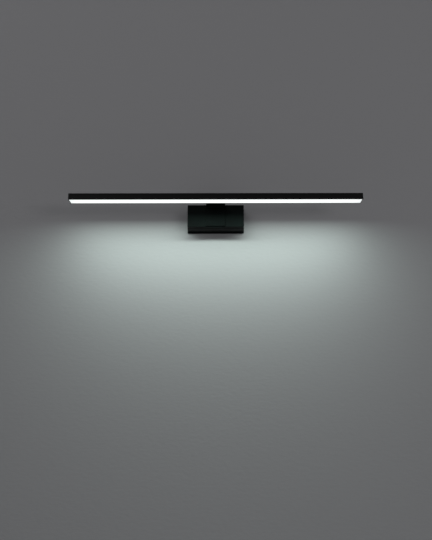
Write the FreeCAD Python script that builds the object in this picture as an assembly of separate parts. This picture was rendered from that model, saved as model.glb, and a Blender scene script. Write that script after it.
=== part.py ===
"""Vanity light bar: an LED bar on a flat bent arm, carried by a small box on the wall.

Frame: +X along the bar, +Z up, and the wall is the plane y = 0 with the lamp on its -Y side.
The origin is the middle of the face that lies on the wall. All lengths are in millimetres.
"""
import FreeCAD, Part
import math
import os
from collections import namedtuple

V = FreeCAD.Vector

# Overall sizes
projection = 120.0              # from the wall to the bar's front face
bar_length = 600.0              # over both end caps
bar_depth = 25.0
bar_height = 13.5
box_width = 121.0
box_height = 49.0
box_projection = 40.0           # from the wall to the box's front face
arm_width = 41.0
arm_thickness = 3.0
arm_below_box_top = 1.0         # step from the box's top down to the arm's top

# Clearances
paint_fit = 0.15                # around a part let into another
screw_fit = 0.2                 # around a screw in a plain hole
thread_fit = 0.05               # around a screw in its thread
wire_fit = 0.3                  # around a wire in a hole

# Plate and gasket on the wall
gasket_thickness = 1.2
gasket_inset = 0.8
plate_thickness = 1.8
plate_rim_side = 1.2            # how far the plate shows beyond the box
plate_rim_top = 4.2
plate_corner = 2.0
tab_thickness = 1.5
tab_height = 18.0
tab_reach = 9.0                 # forward from the plate
slot_spacing = 80.0
slot_height_on_plate = 14.0
slot_length = 9.0
slot_radius = 2.25
gasket_hole_margin = 1.2

# Cable entry
entry_x = 36.0
entry_z = -11.0
cable_bore = 3.5
grommet_body = 6.0
grommet_flange = 7.6
grommet_rear_flange = 1.0
grommet_front_flange = 1.2
grommet_nose = 2.3
grommet_lip = 1.0               # thickness at the nose's end

# Box halves
shell_wall = 2.0
shell_corner = 1.5
shell_front_round = 0.8
seam_from_wall = 21.0
seam_bevel = 0.35
seal_size = 0.8
post_radius = 3.2
post_inset = 5.0                # from the box's outer face to the post's middle
post_recess = 2.4               # sunk head of a shell screw behind the post
shell_screw_bite = 9.0

# Channel in the box's front for the arm
channel_side_gap = 0.6
arm_end_gap = 2.4               # from the arm's lower end to the box's underside
arm_bend_inner = 2.5
arm_insert = 17.0               # length of arm let into the bar
arm_corner = 1.5

# Studs that hold the arm through the box's front
stud_radius = 2.0
stud_spacing_x = 24.0
stud_spacing_z = 20.0
stud_middle_z = -1.0
stud_spare = 0.8
backing_thickness = 1.5
backing_margin = 5.0
washer_radius = 4.4
washer_thickness = 0.8
nut_across_flats = 7.0
nut_height = 3.2

# Low-voltage lead in the arm
lead_width = 3.2
lead_thickness = 1.4
lead_side_room = 0.4
groove_depth = 2.0
groove_open = 0.5               # cutter beyond the surface
cover_thickness = 0.6
cover_overlap = 1.2             # of the cover strip beside the groove
cover_tail = 1.0                # of the cover strip below the bend
lead_turn = 2.2
lead_turn_in_box = 3.0
lead_entry_above_arm_end = 3.9

# Chassis plate
tray_thickness = 1.2
tray_side_room = 7.5            # between the tray and the box's side wall
tray_top_room = 1.1
tray_corner = 2.0
tray_air = 0.8                  # between the studs and the tray
standoff_radius = 3.0
standoff_inset_x = 5.0          # from the tray's edge
standoff_inset_z = 3.2

# Driver
driver_left = -44.0
driver_length = 60.0
driver_height = 29.0
driver_depth = 18.0
driver_wall = 1.2
driver_ear = 6.0
driver_ear_height = 8.0
driver_ear_thickness = 1.5
driver_ear_z = -8.0
board_thickness = 1.6
board_room = 0.3
board_seat = 1.6
transformer_size = (16.0, 10.5, 14.0)
transformer_from_left = 26.0
bobbin_flange = 2.0
winding_proud = 1.5
capacitor_radius = 4.5
capacitor_height = 10.5
capacitor_from_left = 10.0
output_capacitor_radius = 3.2
output_capacitor_height = 9.5
output_capacitor_from_right = 9.0

# Terminal block
terminal_gap = 10.0             # from the driver to the block
terminal_width = 16.0
terminal_depth = 13.0
pole_pitch = 7.0
pole_count = 3
terminal_room = 0.6             # from the heads of the tray's screws down to the block
barrel_radius = 2.4
barrel_bore = 1.25
terminal_screw_inset = 4.0
terminal_screw_height = 5.0
terminal_well = 2.0
peg_radius = 1.4
peg_length = 2.2
wire_radius = 0.8

# Earth and cable clamp
earth_disc_radius = 3.2
earth_disc_thickness = 0.8
earth_from_block = 5.5
clamp_x = 38.0
clamp_width = 18.0
clamp_height = 7.0
clamp_depth = 4.5
clamp_arch = 3.2
clamp_screw_inset = 2.5

# Bar
bar_wall = 1.5
bar_web = 1.2
bar_edge_round = 0.6
light_cavity = 6.3              # from the underside up to the web
port_radius = 2.6
port_sunk = 0.4                 # of the screw port in the side wall
hook_groove_height = 2.4        # above the underside
hook_groove_width = 1.2
hook_groove_depth = 0.7
saddle_ear = 9.7
saddle_side_room = 0.3
saddle_screw_inset = 4.7
arm_screw_spacing = 24.0
lead_hole_radius = 2.3
lead_grommet_neck = 2.8
lead_grommet_bore = 2.0
lead_grommet_flange = 0.5       # beyond the neck
lead_grommet_flange_height = 0.6

# Light source
tape_thickness = 0.25
led_board_width = 12.0
led_board_thickness = 1.0
led_board_end_room = 3.0
led_length = 3.5
led_width = 2.8
led_height = 0.8
led_pitch = 8.4
joint_size = (1.9, 6.2, 0.5)
joint_gap = 0.6

# Diffuser and end caps
diffuser_thickness = 1.5
diffuser_leg = 1.0
diffuser_fit = 0.1
diffuser_hook = 0.5
diffuser_leg_above_hook = 0.6
hook_room = 0.15
end_cap_thickness = 1.5
plug_length = 4.0

# Screws: shank and head radius, height of a pan head, key size
Thread = namedtuple("Thread", "radius head pan key")
m25 = Thread(1.25, 2.25, 1.5, 0.8)
m3 = Thread(1.5, 2.8, 1.9, 1.0)
head_sunk = 0.1                 # countersunk head below the surface
blind_room = 1.0                # of a blind hole past its screw's tip
key_depth = 0.8
short_screw_length = 5.0
side_screw_length = 6.0
arm_screw_length = 5.4
saddle_screw_length = 4.5
cap_screw_length = 9.0

# Planes and places worked out from the sizes above (y is negative away from the wall)
plate_back = -gasket_thickness
plate_front = plate_back - plate_thickness
seam = -seam_from_wall
box_front = -box_projection
box_inner_front = box_front + shell_wall
box_side = box_width / 2
box_top = box_height / 2
inner_side = box_side - shell_wall
inner_top = box_top - shell_wall
leg_back = box_front + arm_thickness
channel_back = leg_back + shell_wall
channel_side = arm_width / 2 + channel_side_gap
arm_top = box_top - arm_below_box_top
arm_bottom = arm_top - arm_thickness
arm_end = -box_top + arm_end_gap
arm_bend_outer = arm_bend_inner + arm_thickness
bar_front = -projection
bar_back = bar_front + bar_depth
bar_middle = bar_back - bar_depth / 2
bar_top = arm_top
bar_bottom = bar_top - bar_height
web_bottom = bar_bottom + light_cavity
web_top = web_bottom + bar_web
chamber_top = bar_top - bar_wall
port_z = (web_top + chamber_top) / 2
port_inset = bar_wall + port_radius - port_sunk
stud_end = (channel_back + backing_thickness + washer_thickness + nut_height + stud_spare)
tray_front = stud_end + tray_air
tray_back = tray_front + tray_thickness
tray_side = inner_side - tray_side_room
tray_top = inner_top - tray_top_room
profile_half = bar_length / 2 - end_cap_thickness


def pair(middle, half):
    """The two ends of a span centred on a point."""
    return (middle - half, middle + half)


def block(x, y, z):
    """Box between two ends in each direction, given in either order."""
    low = V(min(x), min(y), min(z))
    high = V(max(x), max(y), max(z))
    size = high - low
    return Part.makeBox(size.x, size.y, size.z, low)


def edges_along(shape, direction):
    """Straight edges of a shape that run in one direction."""
    found = []
    for edge in shape.Edges:
        run = edge.Vertexes[-1].Point - edge.Vertexes[0].Point
        if run.Length > 0 and run.cross(direction).Length < 1e-6 * run.Length:
            found.append(edge)
    return found


def rounded_block(x, y, z, radius, along):
    """Box whose four edges along one direction are rounded."""
    plain = block(x, y, z)
    return plain.makeFillet(radius, edges_along(plain, along))


def face_rim(shape, y):
    """Edges that lie in a plane of constant y."""
    return [e for e in shape.Edges if all(abs(p.y - y) < 1e-6 for p in e.discretize(5))]


def rod(radius, start, end):
    """Round bar between two points."""
    run = end - start
    return Part.makeCylinder(radius, run.Length, start, run)


def rods(radius, places, y):
    """Round bars through the thickness y at each of several (x, z) places."""
    return [rod(radius, V(x, y[0], z), V(x, y[1], z)) for x, z in places]


def cone(radius_start, radius_end, start, end):
    """Cone between two points."""
    run = end - start
    return Part.makeCone(radius_start, radius_end, run.Length, start, run)


def hexagon(across_flats, start, run):
    """Six-sided bar from a point along a run."""
    circle = across_flats / math.sqrt(3)
    side = V(0, 0, 1) if abs(run.z) < run.Length / 2 else V(1, 0, 0)
    other = run.cross(side).normalize()
    corners = []
    for step in range(7):
        turn = math.radians(60 * step)
        corners.append(start + side * circle * math.cos(turn) + other * circle * math.sin(turn))
    return Part.Face(Part.makePolygon(corners)).extrude(run)


def fused(shapes):
    """One solid from several that meet."""
    whole = shapes[0].multiFuse(shapes[1:]) if len(shapes) > 1 else shapes[0]
    return whole.removeSplitter()


def cut_all(shape, cutters):
    """A shape with several others taken away."""
    return shape.cut(Part.makeCompound(cutters)).removeSplitter()


def flat_screw(thread, length, at, into):
    """Countersunk screw with a hexagon socket, its head's face at a point."""
    head_end = at + into * (thread.head - thread.radius)
    screw = cone(thread.head, thread.radius, at, head_end).fuse(rod(thread.radius, at, at + into * length))
    return screw.cut(hexagon(2 * thread.key, at, into * key_depth)).removeSplitter()


def flat_hole(thread, length, at, into, clearance):
    """Countersunk hole for a flat screw, open at the surface above its head."""
    surface = at - into * head_sunk
    wide = thread.head + clearance
    narrow = thread.radius + clearance
    sink = cone(wide, narrow, at, at + into * (thread.head - thread.radius))
    return [rod(wide, surface - into * head_sunk, at), sink, rod(narrow, at, at + into * length)]


def pan_screw(thread, length, seat, into):
    """Pan-head screw with a hexagon socket, its head resting on a seat."""
    crown = seat - into * thread.pan
    head = rod(thread.head, crown, seat)
    rim = [e for e in head.Edges if abs((e.CenterOfMass - crown).dot(into)) < 1e-6 and e.Closed]
    head = head.makeFillet(thread.pan / 3, rim)
    screw = head.fuse(rod(thread.radius, seat, seat + into * length))
    return screw.cut(hexagon(2 * thread.key, crown, into * key_depth)).removeSplitter()


def left_of(start, end):
    """Direction to the left of a run in the YZ plane, seen from +X."""
    run = end - start
    return V(0, -run.z, run.y).normalize()


def shifted(route, shift):
    """Route moved sideways to its left by one distance."""
    moved = []
    for place, point in enumerate(route):
        sides = []
        if place > 0:
            sides.append(left_of(route[place - 1], point))
        if place < len(route) - 1:
            sides.append(left_of(point, route[place + 1]))
        if len(sides) == 1:
            moved.append(point + sides[0] * shift)
        else:
            moved.append(point + (sides[0] + sides[1]) * (shift / (1 + sides[0].dot(sides[1]))))
    return moved


def rounded_route(route, radii):
    """Edges of a route with an arc at each inner point."""
    edges = []
    start = route[0]
    for before, corner, after, radius in zip(route, route[1:], route[2:], radii):
        back = (before - corner).normalize()
        on = (after - corner).normalize()
        half = back.getAngle(on) / 2
        first = corner + back * (radius / math.tan(half))
        last = corner + on * (radius / math.tan(half))
        middle = corner + (back + on).normalize() * (radius / math.sin(half) - radius)
        edges.append(Part.LineSegment(start, first).toShape())
        edges.append(Part.Arc(first, middle, last).toShape())
        start = last
    edges.append(Part.LineSegment(start, route[-1]).toShape())
    return edges


def ribbon(route, radii, thickness, width):
    """Flat strip whose middle line follows a route in the YZ plane, centred on x = 0."""
    edges = []
    ends = []
    for shift in (thickness / 2, -thickness / 2):
        side = shifted(route, shift)
        side_radii = []
        for before, corner, after, radius in zip(route, route[1:], route[2:], radii):
            turn = left_of(before, corner).dot(after - corner)
            side_radii.append(radius - shift if turn > 0 else radius + shift)
        edges += rounded_route(side, side_radii)
        ends.append((side[0], side[-1]))
    for place in (0, 1):
        edges.append(Part.LineSegment(ends[0][place], ends[1][place]).toShape())
    face = Part.Face(Part.Wire(Part.__sortEdges__(edges)))
    face.translate(V(-width / 2, 0, 0))
    return face.extrude(V(width, 0, 0))


def arm_layer(depth, thickness, width, bar_end, leg_end):
    """Layer of the arm from a depth under its outer face: along the top, round the bend and down the back."""
    middle = depth + thickness / 2
    top = arm_top - middle
    back = leg_back - middle
    route = [V(0, bar_end, top), V(0, back, top), V(0, back, leg_end)]
    return ribbon(route, [arm_bend_outer - middle], thickness, width)


def at_corners(half_x, half_z, middle_x=0.0, middle_z=0.0):
    """Four places round a middle, as (x, z)."""
    return [(middle_x + sx * half_x, middle_z + sz * half_z) for sx in (-1, 1) for sz in (-1, 1)]


FORWARD = V(0, -1, 0)
BACK = V(0, 1, 0)
UP = V(0, 0, 1)
DOWN = V(0, 0, -1)
RIGHT = V(1, 0, 0)
LEFT = V(-1, 0, 0)

plate_side = box_side + plate_rim_side
plate_top = box_top + plate_rim_top
slot_places = [(side * slot_spacing / 2, slot_height_on_plate) for side in (-1, 1)]
post_places = at_corners(box_side - post_inset, box_top - post_inset)
standoff_places = at_corners(tray_side - standoff_inset_x, tray_top - standoff_inset_z)
stud_places = at_corners(stud_spacing_x / 2, stud_spacing_z / 2, 0.0, stud_middle_z)
tab_outer = inner_side - wire_fit
tab_inner = tab_outer - tab_thickness
tab_front = plate_front - tab_reach
side_screw_y = plate_front - tab_reach * 0.6
lead_entry_z = arm_end + lead_entry_above_arm_end
lead_middle_depth = cover_thickness + lead_thickness / 2
groove_side = lead_width / 2 + lead_side_room
driver_right = driver_left + driver_length
driver_back = tray_back + driver_depth
board_front = tray_back + driver_wall + board_seat
board_back = board_front + board_thickness
board_middle = (board_front + board_back) / 2
board_half_height = driver_height / 2 - driver_wall - board_room
board_right = driver_right - driver_wall - board_room
board_left = driver_left + driver_wall + board_room
terminal_left = driver_right + terminal_gap
terminal_right = terminal_left + terminal_width
terminal_back = tray_back + terminal_depth
terminal_top = tray_top - standoff_inset_z - m3.head - terminal_room
terminal_bottom = terminal_top - pole_count * pole_pitch
pole_places = [terminal_bottom + pole_pitch * (i + 0.5) for i in range(pole_count)]
earth_x = terminal_left - earth_from_block
earth_z = tray_top - standoff_inset_z
ear_places = [driver_left - driver_ear / 2, driver_right + driver_ear / 2]


def slot_cutter(x, z, length, radius, y):
    """Long hole along X through a plate."""
    half = length / 2 - radius
    ends = [rod(radius, V(x + s * half, y[0], z), V(x + s * half, y[1], z)) for s in (-1, 1)]
    return fused(ends + [block(pair(x, half), y, pair(z, radius))])


# Wall side -----------------------------------------------------------------

def wall_gasket():
    """Foam sheet behind the plate, set in from its edge, with room round the screws and the cable."""
    side = plate_side - gasket_inset
    top = plate_top - gasket_inset
    sheet = rounded_block((-side, side), (plate_back, 0), (-top, top), plate_corner, BACK)
    radius = slot_radius + gasket_hole_margin
    length = slot_length + 2 * gasket_hole_margin
    holes = [slot_cutter(x, z, length, radius, (plate_back, 0)) for x, z in slot_places]
    entry = grommet_flange + gasket_hole_margin / 2
    return cut_all(sheet, holes + rods(entry, [(entry_x, entry_z)], (plate_back, 0)))


def wall_plate():
    """Steel plate with slotted screw holes, the cable hole and a bent tab with a thread at each end."""
    plate = rounded_block(
        (-plate_side, plate_side), (plate_front, plate_back), (-plate_top, plate_top), plate_corner, BACK
    )
    tab_z = pair(0, tab_height / 2)
    tabs = [block((s * tab_inner, s * tab_outer), (tab_front, plate_back), tab_z) for s in (-1, 1)]
    through = (plate_front, plate_back)
    holes = [slot_cutter(x, z, slot_length, slot_radius, through) for x, z in slot_places]
    holes += rods(grommet_body, [(entry_x, entry_z)], through)
    thread = m3.radius + thread_fit
    holes.append(rod(thread, V(-box_side, side_screw_y, 0), V(box_side, side_screw_y, 0)))
    return cut_all(fused([plate] + tabs), holes)


def cable_grommet():
    """Rubber bush with a flange on both sides of the plate and a tapered nose into the box."""
    rear = plate_back + grommet_rear_flange
    front = plate_front - grommet_front_flange
    nose = front - grommet_nose
    places = {y: V(entry_x, y, entry_z) for y in (rear, plate_back, plate_front, front, nose)}
    body = fused([
        rod(grommet_flange, places[rear], places[plate_back]),
        rod(grommet_body, places[plate_back], places[plate_front]),
        rod(grommet_flange, places[plate_front], places[front]),
        cone(grommet_body, cable_bore + grommet_lip, places[front], places[nose]),
    ])
    return body.cut(rod(cable_bore, places[rear], places[nose]))


# Box halves ----------------------------------------------------------------

def shell_block(y):
    """Outer block of one half of the box."""
    return rounded_block((-box_side, box_side), y, (-box_top, box_top), shell_corner, BACK)


def seam_bevelled(half):
    """Half of the box with a bevel on its outer edge along the seam."""
    return half.makeChamfer(seam_bevel, face_rim(half, seam))


def seal_ring(size):
    """Square ring that runs round the middle of the wall, from the seam into the rear half."""
    middle = shell_wall / 2
    rings = []
    for inset in (middle - size / 2, middle + size / 2):
        side = box_side - inset
        top = box_top - inset
        rings.append(block((-side, side), (seam, seam + seal_size), (-top, top)))
    return rings[0].cut(rings[1])


def rear_shell():
    """Ring against the wall plate, with four posts for the long screws."""
    ring = seam_bevelled(shell_block((seam, plate_front)))
    ring = ring.cut(block((-inner_side, inner_side), (seam, plate_front), (-inner_top, inner_top)))
    post_back = plate_front - post_recess
    posts = rods(post_radius, post_places, (seam, post_back))
    holes = rods(m3.radius + screw_fit, post_places, (seam, plate_front))
    heads = rods(m3.head + screw_fit, post_places, (post_back, plate_front))
    for side, into in ((-1, RIGHT), (1, LEFT)):
        head = V(side * (box_side - head_sunk), side_screw_y, 0)
        holes += flat_hole(m3, side_screw_length, head, into, screw_fit)
    return cut_all(fused([ring] + posts), holes + heads + [seal_ring(seal_size)])


def shell_seal():
    """Silicone cord in the groove of the seam."""
    return seal_ring(seal_size)


def front_shell():
    """Front half with the arm's channel, four standoffs for the tray and four posts for the long screws."""
    outer = shell_block((box_front, seam))
    outer = seam_bevelled(outer.makeFillet(shell_front_round, face_rim(outer, box_front)))
    shell = outer.cut(block((-inner_side, inner_side), (box_inner_front, seam), (-inner_top, inner_top)))
    lining_side = channel_side + shell_wall
    added = [block(pair(0, lining_side), (box_inner_front, channel_back), pair(0, inner_top))]
    added += rods(post_radius, post_places, (box_inner_front, seam))
    added += rods(standoff_radius, standoff_places, (box_inner_front, tray_front))
    holes = [block(pair(0, channel_side), (box_front, leg_back), pair(0, box_top))]
    thread = m3.radius + thread_fit
    holes += rods(thread, post_places, (seam - shell_screw_bite - blind_room, seam))
    bite = short_screw_length - tray_thickness
    holes += rods(thread, standoff_places, (tray_front - bite - blind_room, tray_front))
    holes += rods(stud_radius + screw_fit, stud_places, (leg_back, channel_back))
    window = (lead_entry_z - lead_thickness / 2 - 2 * wire_fit, lead_entry_z + lead_turn)
    holes.append(block((-groove_side, groove_side), (leg_back, channel_back), window))
    return cut_all(fused([shell] + added), holes)


def shell_screws():
    """Four long screws from the wall side through the rear posts into the front ones."""
    seat = plate_front - post_recess
    length = seat - seam + shell_screw_bite
    return [pan_screw(m3, length, V(x, seat, z), FORWARD) for x, z in post_places]


def side_screws():
    """Two countersunk screws that hold the box on the wall plate's tabs."""
    screws = []
    for side, into in ((-1, RIGHT), (1, LEFT)):
        head = V(side * (box_side - head_sunk), side_screw_y, 0)
        screws.append(flat_screw(m3, side_screw_length, head, into))
    return screws


# Electrics in the box --------------------------------------------------------

def gear_tray():
    """Steel chassis plate with the holes for everything that is screwed or clipped to it."""
    through = (tray_front, tray_back)
    tray = rounded_block(pair(0, tray_side), through, pair(0, tray_top), tray_corner, BACK)
    holes = rods(m3.radius + screw_fit, standoff_places, through)
    threads = [(x, driver_ear_z) for x in ear_places] + clamp_places() + [(earth_x, earth_z)]
    holes += rods(m3.radius + thread_fit, threads, through)
    holes += rods(peg_radius + paint_fit, peg_places(), through)
    opening = pair(lead_entry_z, lead_thickness / 2 + 2 * wire_fit)
    holes.append(block((-groove_side, groove_side), through, opening))
    return cut_all(tray, holes)


def tray_screws():
    """Four screws that hold the tray on the front shell's standoffs."""
    return [pan_screw(m3, short_screw_length, V(x, tray_back, z), FORWARD) for x, z in standoff_places]


def driver_case():
    """Driver housing, open at the back, with a fixing ear at each end and holes for its wires."""
    half = driver_height / 2
    outer = block((driver_left, driver_right), (tray_back, driver_back - driver_wall), (-half, half))
    ear_y = (tray_back, tray_back + driver_ear_thickness)
    ear_z = pair(driver_ear_z, driver_ear_height / 2)
    ears = [block(pair(x, driver_ear / 2), ear_y, ear_z) for x in ear_places]
    inner_x = (driver_left + driver_wall, driver_right - driver_wall)
    floor = tray_back + driver_wall
    inner = block(inner_x, (floor, driver_back), pair(0, half - driver_wall))
    ledge = 2 * driver_wall
    ledges = [
        block((inner_x[0], inner_x[0] + ledge), (floor, board_front), pair(0, half - driver_wall)),
        block((inner_x[1] - ledge, inner_x[1]), (floor, board_front), pair(0, half - driver_wall)),
    ]
    holes = rods(m3.radius + screw_fit, [(x, driver_ear_z) for x in ear_places], (tray_back, driver_back))
    for z in pole_places[:2]:
        wire = (V(inner_x[1], board_middle, z), V(driver_right, board_middle, z))
        holes.append(rod(wire_radius + wire_fit, *wire))
    lead_room = pair(board_middle, lead_thickness / 2 + wire_fit)
    holes.append(block(pair(0, lead_width / 2 + wire_fit), lead_room, (-half, -half + driver_wall)))
    return cut_all(fused([outer.cut(inner)] + ears + ledges), holes)


def driver_lid():
    """Flat lid with a low rim inside the case."""
    half = driver_height / 2
    lid = block((driver_left, driver_right), (driver_back - driver_wall, driver_back), (-half, half))
    inset = driver_wall + paint_fit
    rim_x = (driver_left + inset, driver_right - inset)
    rim_y = (driver_back - 2 * driver_wall, driver_back - driver_wall)
    rim = block(rim_x, rim_y, pair(0, half - inset))
    hollow = block(
        (rim_x[0] + driver_wall, rim_x[1] - driver_wall), rim_y, pair(0, half - inset - driver_wall)
    )
    return fused([lid, rim.cut(hollow)])


def driver_board():
    """Circuit board on the case's ledges."""
    return block((board_left, board_right), (board_front, board_back), pair(0, board_half_height))


def driver_transformer():
    """Ferrite transformer on the board: a core with its wound bobbin."""
    x = driver_left + transformer_from_left
    width, height, depth = transformer_size
    core = block(pair(x, width / 2), (board_back, board_back + height), pair(0, depth / 2))
    winding = (V(x, board_back + bobbin_flange, 0), V(x, board_back + height - bobbin_flange, 0))
    bobbin = rod(depth / 2 + winding_proud, *winding)
    slot = block(pair(x, width / 4), (board_back, board_back + height), (-depth, depth))
    return fused([core, bobbin.common(slot)])


def driver_capacitors():
    """Input and output capacitors, standing on the board."""
    cans = [
        (driver_left + capacitor_from_left, capacitor_radius, capacitor_height),
        (driver_right - output_capacitor_from_right, output_capacitor_radius, output_capacitor_height),
    ]
    shapes = []
    for x, radius, height in cans:
        can = rod(radius, V(x, board_back, 0), V(x, board_back + height, 0))
        shapes.append(can.makeFillet(radius / 8, face_rim(can, board_back + height)))
    return shapes


def driver_screws():
    """Two screws through the driver's ears into the tray."""
    seat = tray_back + driver_ear_thickness
    return [pan_screw(m3, short_screw_length, V(x, seat, driver_ear_z), FORWARD) for x in ear_places]


def peg_places():
    """Middles between neighbouring poles, where the block's pegs sit."""
    x = (terminal_left + terminal_right) / 2
    return [(x, (low + high) / 2) for low, high in zip(pole_places, pole_places[1:])]


def terminal_screw_places():
    """Both screws of each pole, as (x, z)."""
    columns = (terminal_left + terminal_screw_inset, terminal_right - terminal_screw_inset)
    return [(x, z) for z in pole_places for x in columns]


def terminal_block():
    """Three-pole block with a screw well over each barrel's ends and pegs that clip into the tray."""
    z_span = (terminal_bottom, terminal_top)
    body = block((terminal_left, terminal_right), (tray_back, terminal_back), z_span)
    pegs = rods(peg_radius, peg_places(), (tray_back, tray_back - peg_length))
    tunnel = barrel_radius + thread_fit
    holes = [rod(tunnel, *barrel_ends(z)) for z in pole_places]
    holes += rods(terminal_well, terminal_screw_places(), (board_middle, terminal_back))
    return cut_all(fused([body] + pegs), holes)


def barrel_ends(z):
    """Both ends of the barrel of the pole at one height."""
    return (V(terminal_left, board_middle, z), V(terminal_right, board_middle, z))


def terminal_barrels():
    """Brass barrel of each pole, with a thread at both ends."""
    barrels = []
    for z in pole_places:
        screws = [place for place in terminal_screw_places() if place[1] == z]
        cutters = rods(m3.radius + thread_fit, screws, (board_middle, board_middle + barrel_radius))
        cutters.append(rod(barrel_bore, *barrel_ends(z)))
        barrels.append(cut_all(rod(barrel_radius, *barrel_ends(z)), cutters))
    return barrels


def terminal_screws():
    """Slotted grub screws that press on the wires."""
    screws = []
    for x, z in terminal_screw_places():
        tip = board_middle + wire_radius
        head = tip + terminal_screw_height
        slot = block(pair(x, m3.radius), (head - key_depth, head), pair(z, m3.radius / 5))
        screws.append(rod(m3.radius, V(x, tip, z), V(x, head, z)).cut(slot))
    return screws


def supply_lead(z):
    """Short wire from a terminal's barrel to the edge of the driver's board."""
    end = terminal_left + terminal_screw_inset + m3.radius
    return rod(wire_radius, V(board_right, board_middle, z), V(end, board_middle, z))


def earth_lead():
    """Ring terminal under the earth screw, crimped on the wire from the third pole."""
    thickness = (tray_back, tray_back + earth_disc_thickness)
    place = [(earth_x, earth_z)]
    disc = rods(earth_disc_radius, place, thickness)
    pole_z = pole_places[-1]
    width = pair(earth_x, wire_radius)
    neck = block(width, thickness, (pole_z - wire_radius, earth_z))
    riser = block(width, (tray_back, board_middle), pair(pole_z, wire_radius))
    wire_end = terminal_left + terminal_screw_inset + m3.radius
    start = V(earth_x - wire_radius, board_middle, pole_z)
    wire = rod(wire_radius, start, V(wire_end, board_middle, pole_z))
    return cut_all(fused(disc + [neck, riser, wire]), rods(m3.radius + screw_fit, place, thickness))


def earth_screw():
    """Screw that clamps the earth ring on the tray."""
    return pan_screw(m3, short_screw_length, V(earth_x, tray_back + earth_disc_thickness, earth_z), FORWARD)


def clamp_places():
    """Both screws of the cable clamp, as (x, z)."""
    reach = clamp_width / 2 - clamp_screw_inset
    return [(clamp_x - reach, entry_z), (clamp_x + reach, entry_z)]


def cable_clamp():
    """Arched saddle that grips the building's cable against the tray."""
    z_span = pair(entry_z, clamp_height / 2)
    body = block(pair(clamp_x, clamp_width / 2), (tray_back, tray_back + clamp_depth), z_span)
    arch = rod(clamp_arch, V(clamp_x, tray_back, z_span[0]), V(clamp_x, tray_back, z_span[1]))
    holes = rods(m3.radius + screw_fit, clamp_places(), (tray_back, tray_back + clamp_depth))
    return cut_all(body, [arch] + holes)


def clamp_screws():
    """Two screws of the cable clamp."""
    seat = tray_back + clamp_depth
    length = short_screw_length + clamp_depth - driver_ear_thickness
    return [pan_screw(m3, length, V(x, seat, z), FORWARD) for x, z in clamp_places()]


# Arm -----------------------------------------------------------------------

def arm_bracket():
    """Steel strip bent once, with a lead groove on its outer face and four weld studs on its upright leg."""
    bar_end = bar_back - arm_insert
    strip = arm_layer(0, arm_thickness, arm_width, bar_end, arm_end)
    in_bar = [e for e in edges_along(strip, UP) if abs(e.CenterOfMass.y - bar_end) < 1e-6]
    strip = strip.makeFillet(arm_corner, in_bar)
    at_foot = [e for e in edges_along(strip, BACK) if abs(e.CenterOfMass.z - arm_end) < 1e-6]
    strip = strip.makeFillet(arm_corner, at_foot)
    studs = rods(stud_radius, stud_places, (leg_back, stud_end))
    groove_end = bar_middle - lead_thickness / 2 - wire_fit
    groove_foot = lead_entry_z - lead_thickness / 2 - wire_fit
    open_depth = groove_depth + groove_open
    cutters = [arm_layer(-groove_open, open_depth, 2 * groove_side, groove_end, groove_foot)]
    cutters.append(arm_layer(-groove_open, cover_thickness + groove_open, cover_width() + 2 * paint_fit,
                             cover_end() - paint_fit, cover_foot() - paint_fit))
    window = (groove_end, bar_middle + lead_turn + wire_fit)
    cutters.append(block((-groove_side, groove_side), window, (arm_bottom, arm_top - groove_depth)))
    for x in pair(0, arm_screw_spacing / 2):
        cutters += flat_hole(m3, arm_thickness, V(x, bar_middle, arm_top - head_sunk), DOWN, screw_fit)
    return cut_all(fused([strip] + studs), cutters)


def cover_width():
    """Width of the strip over the groove."""
    return 2 * (groove_side + cover_overlap)


def cover_end():
    """End of the cover strip in the bar, just past the lead's window."""
    return bar_middle - lead_thickness / 2 - 2 * cover_overlap


def cover_foot():
    """Lower end of the cover strip, where the upright leg goes flat against the channel."""
    return arm_top - arm_bend_outer - cover_tail


def arm_lead_cover():
    """Thin strip let into the arm over its groove."""
    return arm_layer(0, cover_thickness, cover_width(), cover_end(), cover_foot())


def arm_lead():
    """Flat two-core lead from the driver's board, up the arm and into the bar."""
    leg_y = leg_back - lead_middle_depth
    top_z = arm_top - lead_middle_depth
    route = [
        V(0, board_middle, -board_half_height),
        V(0, board_middle, lead_entry_z),
        V(0, leg_y, lead_entry_z),
        V(0, leg_y, top_z),
        V(0, bar_middle, top_z),
        V(0, bar_middle, led_board_bottom),
    ]
    radii = [lead_turn_in_box, lead_turn, arm_bend_outer - lead_middle_depth, lead_turn]
    return ribbon(route, radii, lead_thickness, lead_width)


def arm_backing_plate():
    """Steel plate that spreads the nuts' load inside the box's front."""
    half_x = stud_spacing_x / 2 + backing_margin
    half_z = stud_spacing_z / 2 + backing_margin
    span = (channel_back, channel_back + backing_thickness)
    plate = rounded_block((-half_x, half_x), span, pair(stud_middle_z, half_z), arm_corner, BACK)
    return cut_all(plate, rods(stud_radius + screw_fit, stud_places, span))


def arm_washers():
    """Washer under each nut."""
    front = channel_back + backing_thickness
    span = (front, front + washer_thickness)
    discs = rods(washer_radius, stud_places, span)
    holes = rods(stud_radius + screw_fit, stud_places, span)
    return [disc.cut(hole) for disc, hole in zip(discs, holes)]


def arm_nuts():
    """Nut on each of the arm's studs."""
    front = channel_back + backing_thickness + washer_thickness
    holes = rods(stud_radius + thread_fit, stud_places, (front, front + nut_height))
    blanks = [hexagon(nut_across_flats, V(x, front, z), BACK * nut_height) for x, z in stud_places]
    return [blank.cut(hole) for blank, hole in zip(blanks, holes)]


def arm_screws():
    """Two countersunk screws that hold the arm's end on the saddle in the bar."""
    places = pair(0, arm_screw_spacing / 2)
    return [flat_screw(m3, arm_screw_length, V(x, bar_middle, arm_top - head_sunk), DOWN) for x in places]


def saddle_half():
    """Half the saddle's length: the arm's notch and one ear beyond it."""
    return arm_width / 2 + saddle_ear


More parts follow.
